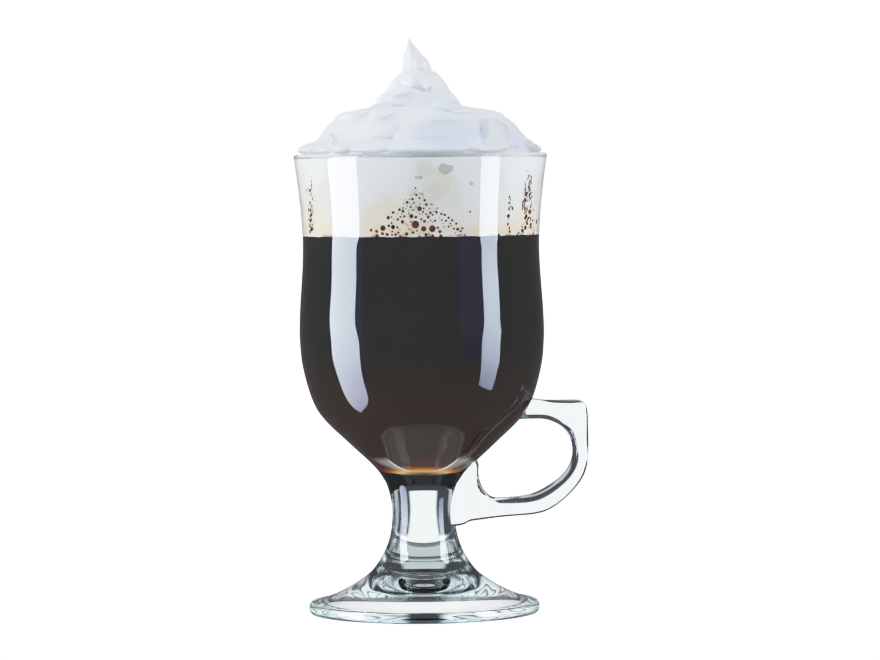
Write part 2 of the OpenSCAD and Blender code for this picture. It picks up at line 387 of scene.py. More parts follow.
# Body of the whipped cream by rings: a share of the height, of the base radius and of the lean
cream_ring_shares = [
    [0, 0.985, 0], [0.03, 1, 0], [0.068, 0.98, 0], [0.104, 0.93, 0], [0.137, 0.865, 0], [0.17, 0.8, 0],
    [0.22, 0.738, 0], [0.27, 0.7, 0], [0.315, 0.66, 0], [0.353, 0.615, 0.05], [0.381, 0.555, 0.1],
    [0.397, 0.49, 0.14], [0.412, 0.43, 0.18], [0.438, 0.365, 0.22], [0.48, 0.305, 0.26], [0.525, 0.262, 0.28],
    [0.57, 0.222, 0.28], [0.615, 0.183, 0.26], [0.66, 0.153, 0.26], [0.72, 0.122, 0.27], [0.77, 0.102, 0.32],
    [0.822, 0.084, 0.42], [0.87, 0.066, 0.58], [0.918, 0.045, 0.75], [0.956, 0.026, 0.88],
    [0.986, 0.012, 0.96], [1, 0.004, 1],
]
# Lobes over it: angle, share of the height, half width as an angle, half height as a share, depth as a share
cream_lobe_shares = [
    # Low ones that rest on the rim
    [-177, 0.107, 18, 0.06, 0.086], [-152, 0.118, 16, 0.08, 0.07], [-131, 0.112, 9, 0.068, 0.06],
    [-113, 0.11, 13, 0.06, 0.055], [-84, 0.123, 24, 0.082, 0.075], [-54, 0.112, 14, 0.071, 0.06],
    [-14, 0.112, 12, 0.071, 0.07], [7, 0.106, 14, 0.068, 0.07], [40, 0.108, 14, 0.07, 0.06],
    [70, 0.12, 18, 0.08, 0.065], [105, 0.11, 16, 0.068, 0.06], [135, 0.123, 14, 0.082, 0.065],
    [160, 0.112, 13, 0.072, 0.06],
    # The large ones of the first tier
    [-80, 0.25, 34, 0.15, 0.105], [-126, 0.255, 27, 0.148, 0.115], [-166, 0.222, 19, 0.13, 0.1],
    [168, 0.25, 22, 0.13, 0.095], [-37, 0.205, 14, 0.14, 0.105], [-8, 0.235, 24, 0.148, 0.112],
    [28, 0.262, 20, 0.135, 0.1], [62, 0.23, 22, 0.148, 0.11], [100, 0.266, 26, 0.137, 0.105],
    [138, 0.235, 20, 0.148, 0.11],
    # Edges of the second tier, which lap over the first
    [-133, 0.386, 28, 0.06, 0.095], [-176, 0.372, 28, 0.06, 0.105], [-52, 0.43, 34, 0.055, 0.09],
    [0, 0.38, 30, 0.062, 0.115], [60, 0.4, 34, 0.055, 0.09], [128, 0.424, 28, 0.055, 0.085],
    # The second tier
    [-125, 0.512, 36, 0.088, 0.068], [-28, 0.523, 40, 0.093, 0.062], [-80, 0.49, 26, 0.071, 0.058],
    [70, 0.507, 42, 0.088, 0.068], [152, 0.523, 38, 0.088, 0.062],
    # Folds that climb into the peak
    [-92, 0.66, 50, 0.072, 0.055], [-12, 0.63, 52, 0.105, 0.07], [108, 0.655, 60, 0.077, 0.05],
    [-168, 0.627, 42, 0.077, 0.045], [-40, 0.792, 60, 0.071, 0.03], [140, 0.822, 60, 0.082, 0.022],
]
cream_lobe_power = 0.62
cream_rim_gap = 0.6
cream_lean = 3.1
cream_base_r = inner_r(cream_layer_z) - cream_rim_gap
cream_sectors = 440
cream_ring_steps = 7
cream_smoothing = 0.5
# How far the lobes' outlines wander, in degrees and as a share of the height, and how quickly they do: round
# the mound, up it, and both for the wander in height
cream_wander_turn = 7
cream_wander_turn_scale = 2.3
cream_wander_climb_scale = 3
cream_wander_rise_share = 0.014
cream_wander_rise_scale = 1.9
cream_wander_seed = Vector((5, 2, 8))
# Shares of the height over which the wander fades out at the bottom and at the tip
cream_calm_shares = (0.05, 0.2)
# Streaks that the swirl leaves: depth, climb round the mound, how close they lie round and up, how much they
# are warped, and the soft bumps between them
cream_streak_depth = 0.14
cream_streak_climb = 1.6
cream_streak_scales = (2.2, 0.42)
cream_streak_warp = 2.4
cream_streak_warp_scale = 0.09
cream_bump_share = 1.4
cream_bump_scale = 0.16
cream_bump_seed = Vector((7, 3, 1))
# Edges of the finer folds: how far the raised side stands up, which is the upper side of a line that runs to
# the right, the width over which it fades, and the line's places across and up
cream_fold_lines = [
    (0.7, 4, [(-4.6, 164.4), (-1.6, 162.0), (1.3, 159.9), (4.0, 160.5)]),
    (0.35, 3, [(-2.5, 167.7), (0.2, 165.3), (3.2, 164.1)]),
    (0.5, 4, [(-11.8, 156.1), (-7.6, 156.7), (-2.9, 158.1), (0.7, 157.5)]),
    (0.5, 3.5, [(-16.0, 153.7), (-11.2, 154.3), (-5.9, 154.6), (-1.1, 153.7)]),
    (0.6, 4, [(3.1, 153.1), (8.4, 152.6), (13.5, 153.1)]),
    (0.55, 3, [(7.0, 154.6), (9.6, 154.0), (12.0, 154.9)]),
    (0.65, 4, [(-14.6, 150.1), (-10.7, 150.1), (-6.8, 151.6)]),
    (0.45, 3.5, [(-21.4, 149.8), (-18.1, 150.7), (-14.8, 152.5)]),
    (0.6, 3, [(-25.7, 141.4), (-25.1, 143.8), (-27.4, 146.5)]),
    (0.45, 3, [(-35.3, 140.5), (-31.7, 141.4), (-26.9, 142.3), (-23.0, 141.4), (-18.5, 140.8)]),
    (0.3, 5, [(-19.7, 144.1), (-11.3, 145.0), (-2.4, 144.4), (6.6, 144.7), (14.9, 143.8)]),
    (0.9, 5, [(19.1, 141.4), (17.9, 143.5), (18.5, 146.8), (16.8, 149.8)]),
    (0.8, 5, [(18.0, 149.2), (22.1, 149.5), (25.4, 147.4), (26.6, 144.7), (27.1, 141.7)]),
    (0.6, 4, [(33.7, 143.8), (32.2, 142.3), (31.9, 140.5)]),
    (0.4, 4, [(2.1, 149.2), (8.4, 149.5), (13.8, 148.6)]),
]
# What all folds' heights are multiplied by, how many of its widths a fold reaches from its line, and how late
# it fades towards the line's ends
cream_fold_gain = 1.5
cream_fold_reach = 2.5
cream_fold_end_power = 4
# How steeply a fold's edge drops, and how wide and how strong the painted shade under it is
cream_fold_drop = 0.35
cream_fold_shade_w = 0.9
cream_fold_shade_gain = 1.4
# Distances over which the folds fade out at the bottom, at the tip and towards the mound's two sides
cream_fade_low = 3
cream_fade_tip = 8
cream_fade_side = 8
# Painted light and shade on faces of the folds: place across and up, half width, half height, colour
# multiplier
cream_painted_light_patches = [
    (8.4, 145.9, 11.9, 5.7, (0.9, 0.925, 0.975)),
    (4.9, 155.2, 5.4, 3.4, (0.92, 0.94, 0.985)),
    (-13.7, 146.8, 6.6, 3.6, (1.03, 1.03, 1.02)),
    (23.6, 144.4, 3.6, 5.1, (0.985, 0.98, 0.93)),
    (18.8, 146.8, 2.4, 3.6, (0.86, 0.87, 0.9)),
    (28.7, 145.6, 2.4, 5.1, (0.95, 0.95, 0.99)),
    (34.3, 142.0, 2.4, 2.1, (0.85, 0.86, 0.85)),
    (1.1, 162.0, 3.0, 2.4, (1.05, 1.05, 1.05)),
    (-5.3, 156.1, 7.2, 1.8, (0.94, 0.955, 0.985)),
    (-17.8, 151.3, 3.0, 1.2, (0.93, 0.94, 0.96)),
    (9.7, 154.7, 2.1, 0.7, (0.9, 0.91, 0.93)),
]
cream_light_patch_sharpness = 3


def lobe_share(angle, height_share, lobe):
    """How far a lobe stands out in one direction, as a share of the base radius."""
    turn, place, half_turn, half_height, depth = lobe
    u = abs((angle - turn + 540) % 360 - 180) / half_turn
    v = (height_share - place) / half_height
    return depth * max(0, 1 - u * u - v * v) ** cream_lobe_power


def cream_point(angle, row):
    """A point of the whipped cream's skin, in millimetres."""
    height_share, r_share, lean_share = row
    calm_low, calm_tip = cream_calm_shares
    turn = math.radians(angle)
    spot = Vector((math.cos(turn), math.sin(turn), height_share * cream_wander_climb_scale))
    fade = min(height_share / calm_low, (1 - height_share) / calm_tip, 1)
    lobe_angle = angle + cream_wander_turn * fade * noise.noise(spot * cream_wander_turn_scale)
    wander = noise.noise(spot * cream_wander_rise_scale + cream_wander_seed)
    lobe_height = height_share + cream_wander_rise_share * fade * wander
    near = (lobe for lobe in cream_lobe_shares if abs(lobe[1] - lobe_height) < lobe[3])
    swell = max((lobe_share(lobe_angle, lobe_height, lobe) for lobe in near), default=0)
    r = cream_base_r * (r_share + swell)
    return Vector((r * math.cos(turn) - cream_lean * lean_share, r * math.sin(turn),
                   between(cream_layer_z, cream_tip_z, height_share)))


def streaks(point):
    """Height of the soft streaks that the swirl leaves, at a point in millimetres."""
    round_scale, up_scale = cream_streak_scales
    turn = math.atan2(point.y, point.x)
    rise = (point.z - cream_streak_climb * turn) * up_scale
    warp = noise.noise(point * cream_streak_warp_scale) * cream_streak_warp
    spot = Vector((math.cos(turn) * round_scale, math.sin(turn) * round_scale, rise + warp))
    ridge = 1 - 2 * abs(noise.noise(spot))
    bump = noise.noise(point * cream_bump_scale + cream_bump_seed)
    return cream_streak_depth * (ridge + cream_bump_share * bump)


def fold_height(x, z):
    """How far the finer folds raise the cream at a place seen from the front, and how much painted shade lies
    under their edges.
    """
    total, shade = 0, 0
    for height, fade, line in cream_fold_lines:
        reach = cream_fold_reach * fade
        if any(not min(ends) - reach < at < max(ends) + reach for at, ends in zip((x, z), zip(*line))):
            continue
        nearest, side, along = reach, 1, 0
        for k, ((x0, z0), (x1, z1)) in enumerate(zip(line, line[1:])):
            dx, dz = x1 - x0, z1 - z0
            share = min(max(((x - x0) * dx + (z - z0) * dz) / (dx * dx + dz * dz), 0), 1)
            distance = math.hypot(x - x0 - dx * share, z - z0 - dz * share)
            if distance < nearest:
                nearest, along = distance, (k + share) / (len(line) - 1)
                side = dx * (z - z0) - dz * (x - x0)
        middle = max(1 - (2 * along - 1) ** cream_fold_end_power, 0)
        width = fade / 2 if side > 0 else cream_fold_drop
        total += cream_fold_gain * height * middle * math.exp(-nearest / width)
        if side < 0:
            strength = min(cream_fold_shade_gain * height, 1) * middle
            shade = max(shade, strength * math.exp(-nearest / cream_fold_shade_w))
    return total, shade


def painted_cream_light(x, z):
    """The painted light and shade on the cream at a place seen from the front."""
    light_and_shade = Vector((1, 1, 1))
    for middle_x, middle_z, half_w, half_h, colour in cream_painted_light_patches:
        distance = math.hypot((x - middle_x) / half_w, (z - middle_z) / half_h)
        if distance < 1:
            light_and_shade = light_and_shade.lerp(Vector(colour), min(cream_light_patch_sharpness * (1 - distance), 1))
    return light_and_shade


def make_whipped_cream():
    """The mound of lobes, with the finer folds raised on its front and, turned round, on its back."""
    bm = bmesh.new()
    loops = []
    for row in smooth_curve(cream_ring_shares, cream_ring_steps):
        ring = [bm.verts.new(cream_point(360 * k / cream_sectors, row)) for k in range(cream_sectors)]
        loops.append([bm.edges.new(pair) for pair in zip(ring, ring[1:] + ring[:1])])
    loft(bm, loops)
    bmesh.ops.smooth_vert(bm, verts=bm.verts, factor=cream_smoothing, use_axis_x=True, use_axis_y=True,
                          use_axis_z=True)
    bm.normal_update()
    # Painted shade under the folds and painted light and shade on their faces, kept on the points for the
    # material
    shades = bm.verts.layers.float.new("fold_shade")
    painted_light_layer = bm.verts.layers.float_vector.new("fold_painted_light")
    places = [(v, v.normal.copy()) for v in bm.verts]
    for v, normal in places:
        low, tip = (v.co.z - cream_layer_z) / cream_fade_low, (cream_tip_z - v.co.z) / cream_fade_tip
        fade = max(min(low, tip, 1), 0)
        across = v.co.x if v.co.y < 0 else -v.co.x
        facing = min(abs(v.co.y) / cream_fade_side, 1)
        height, shade = fold_height(across, v.co.z)
        v[shades] = facing * shade
        v[painted_light_layer] = Vector((1, 1, 1)).lerp(painted_cream_light(across, v.co.z), facing)
        v.co += normal * (streaks(v.co) + facing * height) * fade
    return piece_from("whipped_cream_mound", bm)


# Bubbles in the foam against the glass

glass_ior = 1.5
bubble_flatness = 0.3
bubble_seed = 11
bubble_segments = 10
bubble_rings = 6
# Large bubbles at the front: offset from the axis, height over the coffee, radius
large_bubbles = [
    (-12.2, 2.6, 0.8), (-8.9, 2.9, 0.62), (-5.8, 4.4, 0.5), (-1.6, 3.6, 1.1), (1.1, 2.3, 0.75),
    (3.9, 2.3, 0.95), (6.4, 1.4, 0.5), (-2.9, 6.1, 0.6), (-0.2, 8.3, 0.7), (-10.4, 5.7, 0.5),
    (-8.8, 7.2, 0.42), (11.7, 3.7, 0.36), (13.7, 2.3, 0.36), (-16.1, 2, 0.4), (-14.3, 1.6, 0.45),
    (16.2, 7.2, 0.32), (-5.6, 7.6, 0.42), (2.6, 5.8, 0.42), (5.3, 7.2, 0.4), (-4.2, 10.2, 0.4),
    (1.5, 10.8, 0.38), (-1.2, 12.4, 0.36), (8.4, 4.6, 0.34), (-7.2, 1.2, 0.34),
]
large_bubble_stretch = (1, 1.2)
# Small ones crowd a triangle round them: its height, its tip and corners across, how many are tried, how much
# they prefer the bottom, radius, the shares of it at the tip and gained lower down, and the gap between two
crowd_h = 14.5
crowd_tip = -1.5
crowd_corners = (-15, 16)
crowd_tries = 420
crowd_sink_power = 1.2
crowd_r = (0.15, 0.5)
crowd_tip_r_share = 0.7
crowd_low_r_share = 0.4
crowd_gap = 0.25
# Thin columns near both edges: offset from the axis, lowest and highest place over the coffee, count
bubble_columns = [(-34.4, 1, 18, 60), (34.4, 1, 18, 70), (33.2, 3, 20, 36), (28.6, 1, 12, 16)]
column_spread = 0.4
column_r = (0.14, 0.48)
column_stretch = (1, 1.7)
# Looser clusters round the back: degrees from the front, count, height, how much they prefer the bottom,
# spread in degrees, how it narrows upwards, radius, and how much larger a few of them are
cluster_angles = (70, 115, 165, 205)
cluster_count = 46
cluster_h = 12
cluster_sink_power = 1.6
cluster_spread = 9
cluster_low_share = 1.2
cluster_narrowing_h = 14
cluster_r = (0.15, 0.3)
cluster_extra_r = 0.6
cluster_extra_power = 6


def front_angle(offset, up):
    """Angle round the mug of a spot on the inner wall that shows at an offset from the axis."""
    z = coffee_z + up
    outer, inner = upper_r(z, belly_r, waist_r, rim_r), inner_r(z)
    bend = math.asin(offset / (glass_ior * inner)) - math.asin(offset / (glass_ior * outer))
    return math.radians(-90) + math.asin(offset / outer) - bend


def add_bubble(bm, ball, angle, up, r, stretch=1.0):
    """A flat drop against the glass wall, at a height over the coffee."""
    z = coffee_z + up
    spot = Matrix.Translation((inner_r(z) + layer_wetting, 0, z))
    size = Matrix.Diagonal((r * bubble_flatness, r, r * stretch, 1))
    add_copy(bm, ball, Matrix.Rotation(angle, 4, "Z") @ spot @ size)


def add_crowd(bm, ball, dice):
    """Small bubbles in a triangle at the front, each clear of the others."""
    taken = list(large_bubbles)
    for _ in range(crowd_tries):
        up = crowd_h * dice.random() ** crowd_sink_power
        share = 1 - up / crowd_h
        offset = between(crowd_tip, dice.uniform(*crowd_corners), share)
        r = dice.uniform(*crowd_r) * (crowd_tip_r_share + crowd_low_r_share * share)
        if all(math.hypot(offset - x, up - z) > r + other_r + crowd_gap for x, z, other_r in taken):
            taken.append((offset, up, r))
            add_bubble(bm, ball, front_angle(offset, up), up, r)


def add_column(bm, ball, dice, offset, low, high, count):
    for _ in range(count):
        up = dice.uniform(low, high)
        angle = front_angle(offset + dice.gauss(0, column_spread), up)
        add_bubble(bm, ball, angle, up, dice.uniform(*column_r), dice.uniform(*column_stretch))


def add_cluster(bm, ball, dice, middle):
    for _ in range(cluster_count):
        up = cluster_h * dice.random() ** cluster_sink_power
        spread = dice.gauss(0, cluster_spread) * (cluster_low_share - up / cluster_narrowing_h)
        r = dice.uniform(*cluster_r) + cluster_extra_r * dice.random() ** cluster_extra_power
        add_bubble(bm, ball, math.radians(middle + spread - 90), up, r)


def make_bubbles():
    dice = random.Random(bubble_seed)
    bm = bmesh.new()
    ball = unit_ball(bubble_segments, bubble_rings)
    for offset, up, r in large_bubbles:
        add_bubble(bm, ball, front_angle(offset, up), up, r, dice.uniform(*large_bubble_stretch))
    add_crowd(bm, ball, dice)
    for column in bubble_columns:
        add_column(bm, ball, dice, *column)
    for middle in cluster_angles:
        add_cluster(bm, ball, dice, middle)
    return piece_from("foam_bubbles", bm)


# Materials

emission = "ShaderNodeEmission"
white = (1, 1, 1)
# Takes the height out of a direction or a place
level = (1, 1, 0)
# Painted shade: the dark emission that clear glass shows where no light reaches it, at its edges, in the
# neck's streaks and in the middle of its painted inner glow
painted_glass_dark = (0.05, 0.055, 0.065)
# Light that has gone into glass or out of it this often has crossed the hollow under the foot
hollow_turns = 3.5


def new_material(name):
    """A material, its tree of nodes and its surface shader."""
    material = bpy.data.materials.new(name)
    material.use_nodes = True
    return material, material.node_tree, material.node_tree.nodes["Principled BSDF"]


def bare_material(name):
    """A material with no nodes yet, and its tree."""
    material = bpy.data.materials.new(name)
    material.use_nodes = True
    material.node_tree.nodes.clear()
    return material, material.node_tree


def set_or_link(tree, socket, value):
    """Sets a socket to a number, a vector or a colour, or links another node's output to it."""
    if isinstance(value, tuple):
        socket.default_value = (*value, 1) if socket.type == "RGBA" else value
    elif isinstance(value, (int, float)):
        socket.default_value = value
    else:
        tree.links.new(value, socket)


def feed(tree, node, inputs):
    """Sets or links a node's inputs by their names."""
    for name, value in inputs.items():
        set_or_link(tree, node.inputs[name], value)


def ramp(tree, value, stops):
    """A colour that follows a value through stops: a place with a colour, or with a number for a grey."""
    node = tree.nodes.new("ShaderNodeValToRGB")
    while len(node.color_ramp.elements) < len(stops):
        node.color_ramp.elements.new(0.5)
    for element, (place, colour) in zip(node.color_ramp.elements, stops):
        element.position = place
        element.color = (*colour, 1) if isinstance(colour, tuple) else (colour, colour, colour, 1)
    tree.links.new(value, node.inputs[0])
    return node.outputs[0]


def math_node(tree, operation, *values):
    node = tree.nodes.new("ShaderNodeMath")
    node.operation = operation
    for socket, value in zip(node.inputs, values):
        set_or_link(tree, socket, value)
    return node.outputs[0]


def product(tree, result, *values):
    for value in values:
        result = math_node(tree, "MULTIPLY", result, value)
    return result


def vector_node(tree, operation, *values):
    node = tree.nodes.new("ShaderNodeVectorMath")
    node.operation = operation
    for socket, value in zip(node.inputs, values):
        set_or_link(tree, socket, value)
    return node.outputs["Value" if operation == "LENGTH" else "Vector"]


def split_xyz(tree, vector):
    node = tree.nodes.new("ShaderNodeSeparateXYZ")
    tree.links.new(vector, node.inputs[0])
    return node.outputs["X"], node.outputs["Y"], node.outputs["Z"]


def object_place(tree):
    """The point on the piece in metres, and its X, Y and Z."""
    place = tree.nodes.new("ShaderNodeTexCoord").outputs["Object"]
    return place, *split_xyz(tree, place)


def noise_texture(tree, place, scale, detail=3):
    node = tree.nodes.new("ShaderNodeTexNoise")
    feed(tree, node, {"Vector": place, "Scale": scale, "Detail": detail})
    return node.outputs["Fac"]


def attribute(tree, name, output):
    node = tree.nodes.new("ShaderNodeAttribute")
    node.attribute_name = name
    return node.outputs[output]


def share_node(tree, value, start, end):
    """Turns a length in metres to its share of the way from start to end, both in millimetres."""
    node = tree.nodes.new("ShaderNodeMapRange")
    feed(tree, node, {"Value": value, "From Min": start * MM, "From Max": end * MM})
    return node.outputs["Result"]


def far_from_axis(tree, place, near, far):
    """Rises from 0 to 1 between two distances from the mug's axis."""
    reach = vector_node(tree, "LENGTH", vector_node(tree, "MULTIPLY", place, level))
    return share_node(tree, reach, near, far)


def mixed_colour(tree, share, first, second):
    node = tree.nodes.new("ShaderNodeMix")
    node.data_type = "RGBA"
    for socket, value in zip((node.inputs[0], node.inputs[6], node.inputs[7]), (share, first, second)):
        set_or_link(tree, socket, value)
    return node.outputs[2]


def mixed_shader(tree, share, first, second):
    node = tree.nodes.new("ShaderNodeMixShader")
    for socket, value in zip(node.inputs, (share, first, second)):
        tree.links.new(value, socket)
    return node.outputs[0]


def glow_shader(tree, kind, colour, strength=1):
    """A shader that only gives light: Emission on a piece, Background in the world."""
    node = tree.nodes.new(kind)
    feed(tree, node, {"Color": colour, "Strength": strength})
    return node.outputs[0]


def ray_count_over(tree, count, limit):
    """1 for light that was mirrored, bent or met a surface more often than a limit, 0 for the rest."""
    return math_node(tree, "GREATER_THAN", tree.nodes.new("ShaderNodeLightPath").outputs[count], limit)


# Clear glass: the colour that it lets through and how soon it takes the rest out
glass_tint = (0.55, 0.88, 0.92)
glass_density = 9
# Light that has bounced this often inside the glass shows a painted inner glow in its place: broken rings of
# white and dark
deep_bounces = 3.5
deep_ring_squash = (1, 1, 5)
deep_ring_scale = 38
deep_glow_stops = (
    (0.37, (1.2, 1.28, 1.3)), (0.39, (0.1, 0.11, 0.13)), (0.42, (1, 1.07, 1.1)), (0.5, (1.2, 1.28, 1.3)),
    (0.515, (0.03, 0.035, 0.045)), (0.545, (0.75, 0.82, 0.86)), (0.6, (1.2, 1.28, 1.3)),
    (0.62, (0.1, 0.11, 0.13)), (0.65, (1.1, 1.17, 1.2)),
)
# Distances from the middle over which that glow falls to dark, and from the axis over which it turns to grey
deep_dark_x = (7, 4)
deep_grey_r = (30, 32)
deep_grey = (0.2, 0.24, 0.27)
# Painted shade: how far the glass is darkened as it turns away, as seen along its surface
painted_edge_shade_stops = ((0.7, 0), (0.95, 0.16))
# The same painted shade on the stem and the neck over the foot, in upright streaks: heights where they begin
# and are full, and where they end and are still full
neck_begin_z = (9, 12)
neck_end_z = (37, 28)
neck_turn_stops = ((0.19, 0), (0.34, 1))
neck_streak_stretch = (1, 1, 0.12)
neck_streak_scale = 520
neck_streak_stops = ((0.42, 0.92), (0.6, 0.15))


def painted_inner_glow(tree, place, x):
    """The painted glow deep in the glass, with a painted dark middle and a grey edge."""
    squashed = vector_node(tree, "MULTIPLY", place, deep_ring_squash)
    rings = noise_texture(tree, squashed, deep_ring_scale, 1)
    middle = share_node(tree, math_node(tree, "ABSOLUTE", x), *deep_dark_x)
    glow = mixed_colour(tree, middle, ramp(tree, rings, deep_glow_stops), painted_glass_dark)
    return mixed_colour(tree, far_from_axis(tree, place, *deep_grey_r), glow, deep_grey)


def painted_neck_shade(tree, place, z, facing):
    """How strong the painted shade on the sides of the stem and the neck is, where light first meets them."""
    stretched = vector_node(tree, "MULTIPLY", place, neck_streak_stretch)
    fine = noise_texture(tree, stretched, neck_streak_scale, 2)
    first = math_node(tree, "SUBTRACT", 1, ray_count_over(tree, "Ray Depth", 0.5))
    return product(
        tree, ramp(tree, fine, neck_streak_stops), share_node(tree, z, *neck_begin_z),
        share_node(tree, z, *neck_end_z), ramp(tree, facing, neck_turn_stops), first)


def clear_glass():
    material, tree, shader = new_material("clear glass")
    feed(tree, shader, {"Base Color": white, "Roughness": 0, "IOR": glass_ior, "Transmission Weight": 1})
    volume = tree.nodes.new("ShaderNodeVolumeAbsorption")
    feed(tree, volume, {"Color": glass_tint, "Density": glass_density})
    place, x, y, z = object_place(tree)
    weight = tree.nodes.new("ShaderNodeLayerWeight")
    weight.inputs["Blend"].default_value = 0.5
    facing = weight.outputs["Facing"]
    # Painted shade: the glass turns to a dark emission at its edges and in the neck's streaks
    edge = math_node(tree, "MAXIMUM", ramp(tree, facing, painted_edge_shade_stops), painted_neck_shade(tree, place, z, facing))
    surface = mixed_shader(tree, edge, shader.outputs["BSDF"], glow_shader(tree, emission, painted_glass_dark))
    # Painted glow in place of the light that has bounced deep inside the glass
    glow = glow_shader(tree, emission, painted_inner_glow(tree, place, x))
    surface = mixed_shader(tree, ray_count_over(tree, "Ray Depth", deep_bounces), surface, glow)
    feed(tree, tree.nodes["Material Output"], {"Surface": surface, "Volume": volume.outputs["Volume"]})
    return material


# Coffee: its colour, brown and amber from painted light low down, and its painted glow, from the bowl's floor
# up to a height
coffee_dark_z = 83.5
# Dark coffee high up; the brown and amber lower down are painted light that comes through the thinner coffee
# near the floor
coffee_and_painted_light_stops = (
    (0, (0.1, 0.06, 0.05)), (0.022, (0.75, 0.42, 0.12)), (0.04, (0.5, 0.13, 0.02)),
    (0.058, (0.12, 0.037, 0.02)), (0.13, (0.07, 0.033, 0.022)), (0.3, (0.07, 0.037, 0.023)),
    (0.6, (0.059, 0.038, 0.029)), (1, (0.037, 0.034, 0.031)),
)
amber_glow_stops = ((0, 0.02), (0.02, 0.5), (0.05, 0))
# Painted shade where the glass mirrors it, and a painted glow where it shows through the hollow under the
# foot
coffee_painted_mirror_shade = (0.012, 0.011, 0.012)
coffee_painted_hollow_light = (0.75, 0.79, 0.8)
# Arc under which painted light lies on the coffee's skin, either side of the amber: its lowest height, its
# bend per millimetre, how deep the light runs down from it, and how strong it is on the way
wedge_low_z = 46.2
wedge_bend = 0.042
wedge_depth = 0.5
wedge_stops = ((0, 0), (0.4, 1), (1, 0.45))
# Where that light is missing and where it is full: downwards, outwards from the middle, and forwards
wedge_z = (50.6, 49.3)
wedge_x = (2, 4.5)
wedge_y = (-2, -5)
painted_wedge_light = (0.62, 0.62, 0.6)
wedge_glow = 0.85


def painted_light_wedges(tree, x, y, z):
    """Where painted light on the coffee's skin stands for the light that the glass gathers under it."""
    bend = math_node(tree, "MULTIPLY", math_node(tree, "MULTIPLY", x, x), wedge_bend / MM)
    below = math_node(tree, "SUBTRACT", math_node(tree, "ADD", bend, wedge_low_z * MM), z)
    return product(
        tree, ramp(tree, share_node(tree, below, 0, wedge_depth), wedge_stops), share_node(tree, z, *wedge_z),
        share_node(tree, math_node(tree, "ABSOLUTE", x), *wedge_x), share_node(tree, y, *wedge_y))


def coffee_liquid():
    """Coffee as it shows through the glass: nearly black, with painted light making it brown low down and
    amber at the very bottom.
    """
    material, tree, shader = new_material("black coffee")
    place, x, y, z = object_place(tree)
    up = share_node(tree, z, bowl_floor_z, coffee_dark_z)
    wedge = painted_light_wedges(tree, x, y, z)
    colour = mixed_colour(tree, wedge, ramp(tree, up, coffee_and_painted_light_stops), painted_wedge_light)
    # Painted shade: the coffee turns darker where the glass mirrors it
    was_mirrored = ray_count_over(tree, "Glossy Depth", 0.5)
    colour = mixed_colour(tree, was_mirrored, colour, coffee_painted_mirror_shade)
    path = tree.nodes.new("ShaderNodeLightPath").outputs
    turns = math_node(tree, "ADD", path["Transmission Depth"], was_mirrored)
    # Painted glow: pale light where the coffee shows through the hollow under the foot
    painted_hollow_light_share = math_node(tree, "GREATER_THAN", turns, hollow_turns)
    colour = mixed_colour(tree, painted_hollow_light_share, colour, coffee_painted_hollow_light)
    # Painted glow: amber at the bottom, on the light wedges and where the coffee shows through the hollow
    glow = math_node(tree, "MAXIMUM", ramp(tree, up, amber_glow_stops), product(tree, wedge, wedge_glow))
    glow = math_node(tree, "MAXIMUM", glow, painted_hollow_light_share)
    feed(tree, shader, {
        "Base Color": colour, "Emission Color": colour, "Emission Strength": glow,
        "Roughness": 0.6, "IOR": 1.0,
    })
    return material


# Cream foam: its colour by height, swayed by large soft patches
foam_body_stops = (
    (0.15, (0.96, 0.79, 0.61)), (0.35, (0.94, 0.84, 0.69)), (0.6, (0.87, 0.83, 0.72)),
    (0.85, (0.9, 0.895, 0.87)),
)
foam_patch_scale = 60
foam_patch_sway = 0.9
foam_patch_shift = -0.22
# Tiny bubbles low down
foam_cell_scale = 1100
foam_speck_stops = ((0.05, 0.5), (0.22, 0))
foam_speck_height_stops = ((0.1, 1), (0.7, 0))
foam_speck_colour = (0.4, 0.26, 0.18)
# Clouds over it, whiter and then beige: scale, detail, how much of the noise shows, and colour
foam_clouds = [
    (42, 5, ((0.47, 0), (0.56, 0.6)), (0.93, 0.94, 0.965)),
    (105, 4, ((0.56, 0), (0.66, 0.4)), (0.74, 0.66, 0.5)),
]
# Spots of thin foam at the front: place across and up, half width, half height
foam_spots = [
    (-0.3, 132.8, 1.8, 1.0), (7.9, 135.5, 2.7, 1.8), (15.0, 131.0, 0.8, 0.7), (-32.5, 129.5, 0.7, 0.9),
]
foam_spot_rough_scale = 320
foam_spot_stops = ((0.8, 0.75), (0.86, 0))
foam_spot_colour = (0.5, 0.49, 0.38)
# The pale line where it meets the coffee
foam_line_stops = ((0.012, 0.75), (0.028, 0))
foam_line_colour = (0.93, 0.9, 0.86)
# Painted glow for the light that the foam passes on, stronger from its middle out to the side
foam_glow_stops = ((0, 0.13), (0.5, 0.25), (0.8, 0.45), (1, 0.48))


def spot_mask(tree, x, z, rough, spot):
    """How strong a spot with a ragged edge is, at a place on the mug."""
    middle_x, middle_z, half_w, half_h = spot
    squares = []
    for value, middle, half in ((x, middle_x, half_w), (z, middle_z, half_h)):
        share = math_node(tree, "DIVIDE", math_node(tree, "SUBTRACT", value, middle * MM), half * MM)
        squares.append(math_node(tree, "MULTIPLY", share, share))
    away = product(tree, math_node(tree, "ADD", *squares), 0.5)
    return ramp(tree, math_node(tree, "ADD", away, rough), foam_spot_stops)


